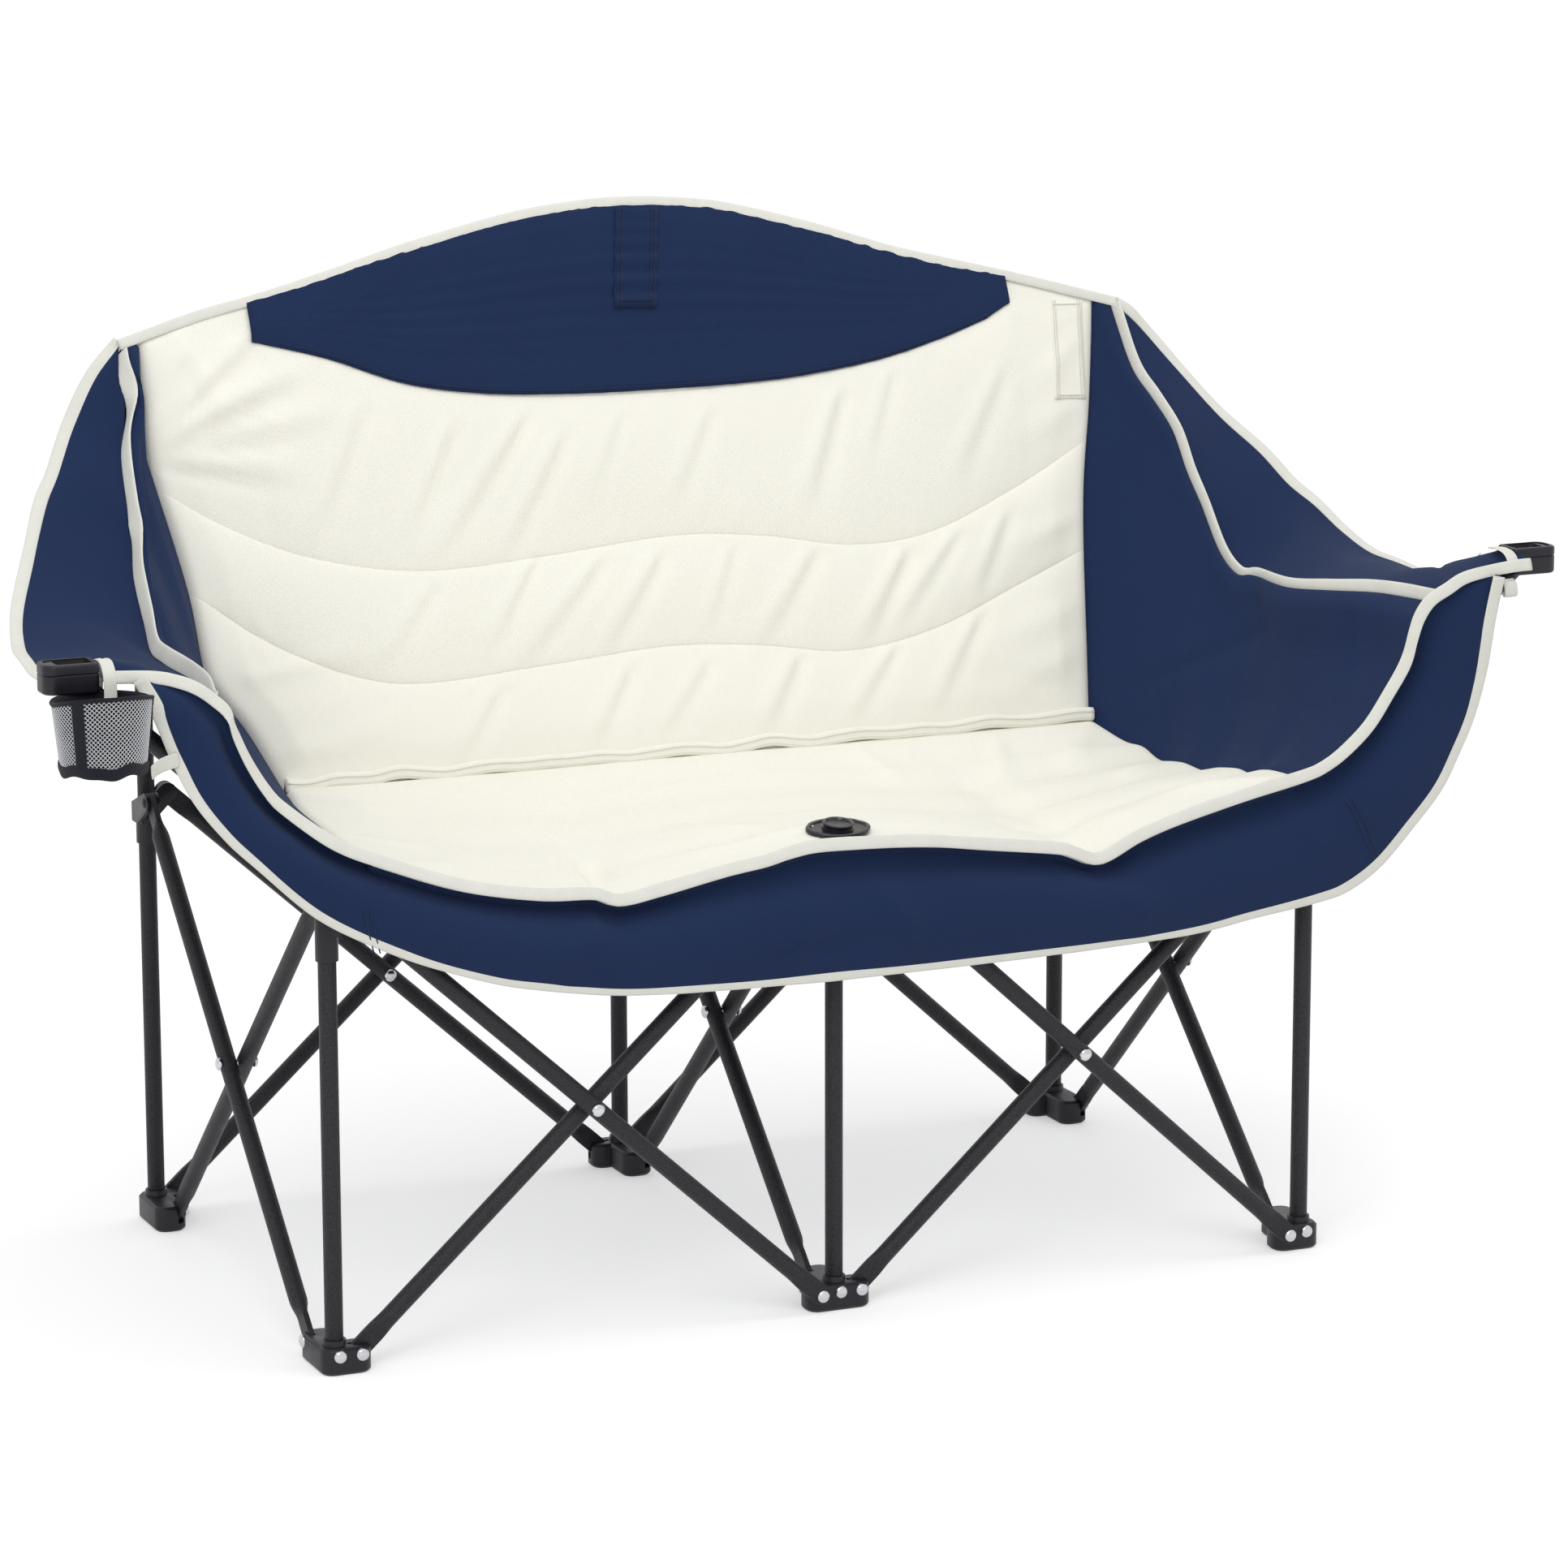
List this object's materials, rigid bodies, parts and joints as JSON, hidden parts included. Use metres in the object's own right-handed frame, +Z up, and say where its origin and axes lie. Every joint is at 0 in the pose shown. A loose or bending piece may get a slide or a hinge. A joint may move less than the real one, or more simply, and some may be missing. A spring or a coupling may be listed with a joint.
{
  "type": "folding camping loveseat",
  "caption": "Wide folding camping seat for sitting side by side: padded fabric body on a scissor frame of crossed tubes, with arm caps and a hanging cup holder.",
  "frame": {"origin": "on the ground, under the centre of the bounding box", "axes": "+X to the left arm of a sitter, +Y to the rear, +Z up"},
  "size_m": [1.438, 0.651, 0.9464],
  "materials": {
    "charcoal_paint": "hammered powder coat",
    "black_plastic": "fine grain",
    "bright_steel": "polished",
    "navy_fabric": "fine weave",
    "cream_fabric": "fine weave",
    "net_fabric": "open net"
  },
  "bodies": {
    "leg_front_left": {"foot_front_left": "black_plastic", "post_front_left": "charcoal_paint"},
    "hub_front_left": {"hub_front_left": "black_plastic", "slide_rod_front_left": "bright_steel"},
    "leg_rear_left": {"foot_rear_left": "black_plastic", "post_rear_left": "charcoal_paint", "post_cap_rear_left": "black_plastic", "side_panel_left": "navy_fabric", "wing_left": "navy_fabric"},
    "hub_rear_left": {"hub_rear_left": "black_plastic"},
    "side_rearward_left": {"side_tube_rearward_left": "charcoal_paint", "rivet_side_left": "bright_steel"},
    "side_forward_left": {"side_tube_forward_left": "charcoal_paint"},
    "leg_front_middle": {"foot_front_middle": "black_plastic", "post_front_middle": "charcoal_paint"},
    "hub_front_middle": {"hub_front_middle": "black_plastic", "slide_rod_front_middle": "bright_steel", "seat_pad": "cream_fabric", "seat_plate": "black_plastic", "seat_knob": "black_plastic", "front_band": "navy_fabric"},
    "leg_rear_middle": {"foot_rear_middle": "black_plastic", "post_rear_middle": "charcoal_paint", "post_cap_rear_middle": "black_plastic", "back_pad": "cream_fabric", "back_top_panel": "navy_fabric"},
    "hub_rear_middle": {"hub_rear_middle": "black_plastic"},
    "side_rearward_middle": {"side_tube_rearward_middle": "charcoal_paint", "rivet_side_middle": "bright_steel"},
    "side_forward_middle": {"side_tube_forward_middle": "charcoal_paint"},
    "leg_front_right": {"foot_front_right": "black_plastic", "post_front_right": "charcoal_paint"},
    "hub_front_right": {"hub_front_right": "black_plastic", "slide_rod_front_right": "bright_steel"},
    "leg_rear_right": {"foot_rear_right": "black_plastic", "post_rear_right": "charcoal_paint", "post_cap_rear_right": "black_plastic", "side_panel_right": "navy_fabric", "wing_right": "navy_fabric"},
    "hub_rear_right": {"hub_rear_right": "black_plastic"},
    "side_rearward_right": {"side_tube_rearward_right": "charcoal_paint", "rivet_side_right": "bright_steel"},
    "side_forward_right": {"side_tube_forward_right": "charcoal_paint"},
    "arm_left": {"arm_tube_left": "charcoal_paint", "arm_cap_left": "black_plastic", "rivet_front_left": "bright_steel", "cup_holder": "net_fabric"},
    "front_outer_left": {"front_tube_outer_left": "charcoal_paint"},
    "rear_inner_left": {"rear_tube_inner_left": "charcoal_paint", "rivet_rear_left": "bright_steel"},
    "rear_outer_left": {"rear_tube_outer_left": "charcoal_paint"},
    "arm_right": {"arm_tube_right": "charcoal_paint", "arm_cap_right": "black_plastic", "rivet_front_right": "bright_steel"},
    "front_outer_right": {"front_tube_outer_right": "charcoal_paint"},
    "rear_inner_right": {"rear_tube_inner_right": "charcoal_paint", "rivet_rear_right": "bright_steel"},
    "rear_outer_right": {"rear_tube_outer_right": "charcoal_paint"}
  },
  "joints": [
    {"name": "fold", "type": "hinge", "parent": "leg_front_middle", "child": "arm_left", "pos_m": [-0.02, -0.23685, 0.017], "axis": [0, 1, 0], "range_deg": [0, 42], "deforming": ["seat_pad", "front_band", "back_pad", "back_top_panel", "side_panel_left", "side_panel_right", "wing_left", "wing_right"]},
    {"name": "front_cross_left", "type": "hinge", "parent": "arm_left", "child": "front_outer_left", "pos_m": [-0.235, -0.22055, 0.213], "axis": [0, 1, 0], "range_deg": [-84, 0]},
    {"name": "foot_front_left", "type": "hinge", "parent": "front_outer_left", "child": "leg_front_left", "pos_m": [-0.45, -0.22055, 0.017], "axis": [0, 1, 0], "range_deg": [0, 42]},
    {"name": "hub_front_left", "type": "hinge", "parent": "arm_left", "child": "hub_front_left", "pos_m": [-0.45, -0.23685, 0.409], "axis": [0, 1, 0], "range_deg": [-42, 0]},
    {"name": "hub_front_middle", "type": "hinge", "parent": "front_outer_left", "child": "hub_front_middle", "pos_m": [-0.02, -0.22055, 0.409], "axis": [0, 1, 0], "range_deg": [0, 42]},
    {"name": "foot_front_middle", "type": "hinge", "parent": "leg_front_middle", "child": "arm_right", "pos_m": [0.02, -0.22055, 0.017], "axis": [0, 1, 0], "range_deg": [-42, 0]},
    {"name": "front_cross_right", "type": "hinge", "parent": "arm_right", "child": "front_outer_right", "pos_m": [0.235, -0.23685, 0.213], "axis": [0, 1, 0], "range_deg": [0, 84]},
    {"name": "foot_front_right", "type": "hinge", "parent": "front_outer_right", "child": "leg_front_right", "pos_m": [0.45, -0.23685, 0.017], "axis": [0, 1, 0], "range_deg": [-42, 0]},
    {"name": "hub_front_right", "type": "hinge", "parent": "arm_right", "child": "hub_front_right", "pos_m": [0.45, -0.22055, 0.409], "axis": [0, 1, 0], "range_deg": [0, 42]},
    {"name": "side_foot_front_middle", "type": "hinge", "parent": "leg_front_middle", "child": "side_rearward_middle", "pos_m": [0, -0.17635, 0.017], "axis": [1, 0, 0], "range_deg": [0, 42]},
    {"name": "side_cross_middle", "type": "hinge", "parent": "side_rearward_middle", "child": "side_forward_middle", "pos_m": [0, 0.03865, 0.213], "axis": [1, 0, 0], "range_deg": [-84, 0]},
    {"name": "side_foot_rear_middle", "type": "hinge", "parent": "side_forward_middle", "child": "leg_rear_middle", "pos_m": [0, 0.25365, 0.017], "axis": [1, 0, 0], "range_deg": [0, 42]},
    {"name": "side_hub_rear_middle", "type": "hinge", "parent": "side_rearward_middle", "child": "hub_rear_middle", "pos_m": [0, 0.25365, 0.409], "axis": [1, 0, 0], "range_deg": [-42, 0]},
    {"name": "side_foot_front_left", "type": "hinge", "parent": "leg_front_left", "child": "side_rearward_left", "pos_m": [-0.47, -0.17635, 0.017], "axis": [1, 0, 0], "range_deg": [0, 42]},
    {"name": "side_cross_left", "type": "hinge", "parent": "side_rearward_left", "child": "side_forward_left", "pos_m": [-0.47, 0.03865, 0.213], "axis": [1, 0, 0], "range_deg": [-84, 0]},
    {"name": "side_foot_rear_left", "type": "hinge", "parent": "side_forward_left", "child": "leg_rear_left", "pos_m": [-0.47, 0.25365, 0.017], "axis": [1, 0, 0], "range_deg": [0, 42]},
    {"name": "side_hub_rear_left", "type": "hinge", "parent": "side_rearward_left", "child": "hub_rear_left", "pos_m": [-0.47, 0.25365, 0.409], "axis": [1, 0, 0], "range_deg": [-42, 0]},
    {"name": "side_foot_front_right", "type": "hinge", "parent": "leg_front_right", "child": "side_rearward_right", "pos_m": [0.47, -0.17635, 0.017], "axis": [1, 0, 0], "range_deg": [0, 42]},
    {"name": "side_cross_right", "type": "hinge", "parent": "side_rearward_right", "child": "side_forward_right", "pos_m": [0.47, 0.03865, 0.213], "axis": [1, 0, 0], "range_deg": [-84, 0]},
    {"name": "side_foot_rear_right", "type": "hinge", "parent": "side_forward_right", "child": "leg_rear_right", "pos_m": [0.47, 0.25365, 0.017], "axis": [1, 0, 0], "range_deg": [0, 42]},
    {"name": "side_hub_rear_right", "type": "hinge", "parent": "side_rearward_right", "child": "hub_rear_right", "pos_m": [0.47, 0.25365, 0.409], "axis": [1, 0, 0], "range_deg": [-42, 0]},
    {"name": "rear_foot_left", "type": "hinge", "parent": "leg_rear_middle", "child": "rear_inner_left", "pos_m": [-0.02, 0.29785, 0.017], "axis": [0, 1, 0], "range_deg": [0, 42]},
    {"name": "rear_cross_left", "type": "hinge", "parent": "rear_inner_left", "child": "rear_outer_left", "pos_m": [-0.235, 0.29465, 0.213], "axis": [0, 1, 0], "range_deg": [-84, 0]},
    {"name": "rear_foot_right", "type": "hinge", "parent": "leg_rear_middle", "child": "rear_inner_right", "pos_m": [0.02, 0.31415, 0.017], "axis": [0, 1, 0], "range_deg": [-42, 0]},
    {"name": "rear_cross_right", "type": "hinge", "parent": "rear_inner_right", "child": "rear_outer_right", "pos_m": [0.235, 0.29465, 0.213], "axis": [0, 1, 0], "range_deg": [0, 84]}
  ],
  "couplings": [
    {"joint": "front_cross_left", "follows": "fold", "ratio": -2},
    {"joint": "foot_front_left", "follows": "fold", "ratio": 1},
    {"joint": "hub_front_left", "follows": "fold", "ratio": -1},
    {"joint": "hub_front_middle", "follows": "fold", "ratio": 1},
    {"joint": "foot_front_middle", "follows": "fold", "ratio": -1},
    {"joint": "front_cross_right", "follows": "fold", "ratio": 2},
    {"joint": "foot_front_right", "follows": "fold", "ratio": -1},
    {"joint": "hub_front_right", "follows": "fold", "ratio": 1},
    {"joint": "side_foot_front_middle", "follows": "fold", "ratio": 1},
    {"joint": "side_cross_middle", "follows": "fold", "ratio": -2},
    {"joint": "side_foot_rear_middle", "follows": "fold", "ratio": 1},
    {"joint": "side_hub_rear_middle", "follows": "fold", "ratio": -1},
    {"joint": "side_foot_front_left", "follows": "fold", "ratio": 1},
    {"joint": "side_cross_left", "follows": "fold", "ratio": -2},
    {"joint": "side_foot_rear_left", "follows": "fold", "ratio": 1},
    {"joint": "side_hub_rear_left", "follows": "fold", "ratio": -1},
    {"joint": "side_foot_front_right", "follows": "fold", "ratio": 1},
    {"joint": "side_cross_right", "follows": "fold", "ratio": -2},
    {"joint": "side_foot_rear_right", "follows": "fold", "ratio": 1},
    {"joint": "side_hub_rear_right", "follows": "fold", "ratio": -1},
    {"joint": "rear_foot_left", "follows": "fold", "ratio": 1},
    {"joint": "rear_cross_left", "follows": "fold", "ratio": -2},
    {"joint": "rear_foot_right", "follows": "fold", "ratio": -1},
    {"joint": "rear_cross_right", "follows": "fold", "ratio": 2}
  ]
}
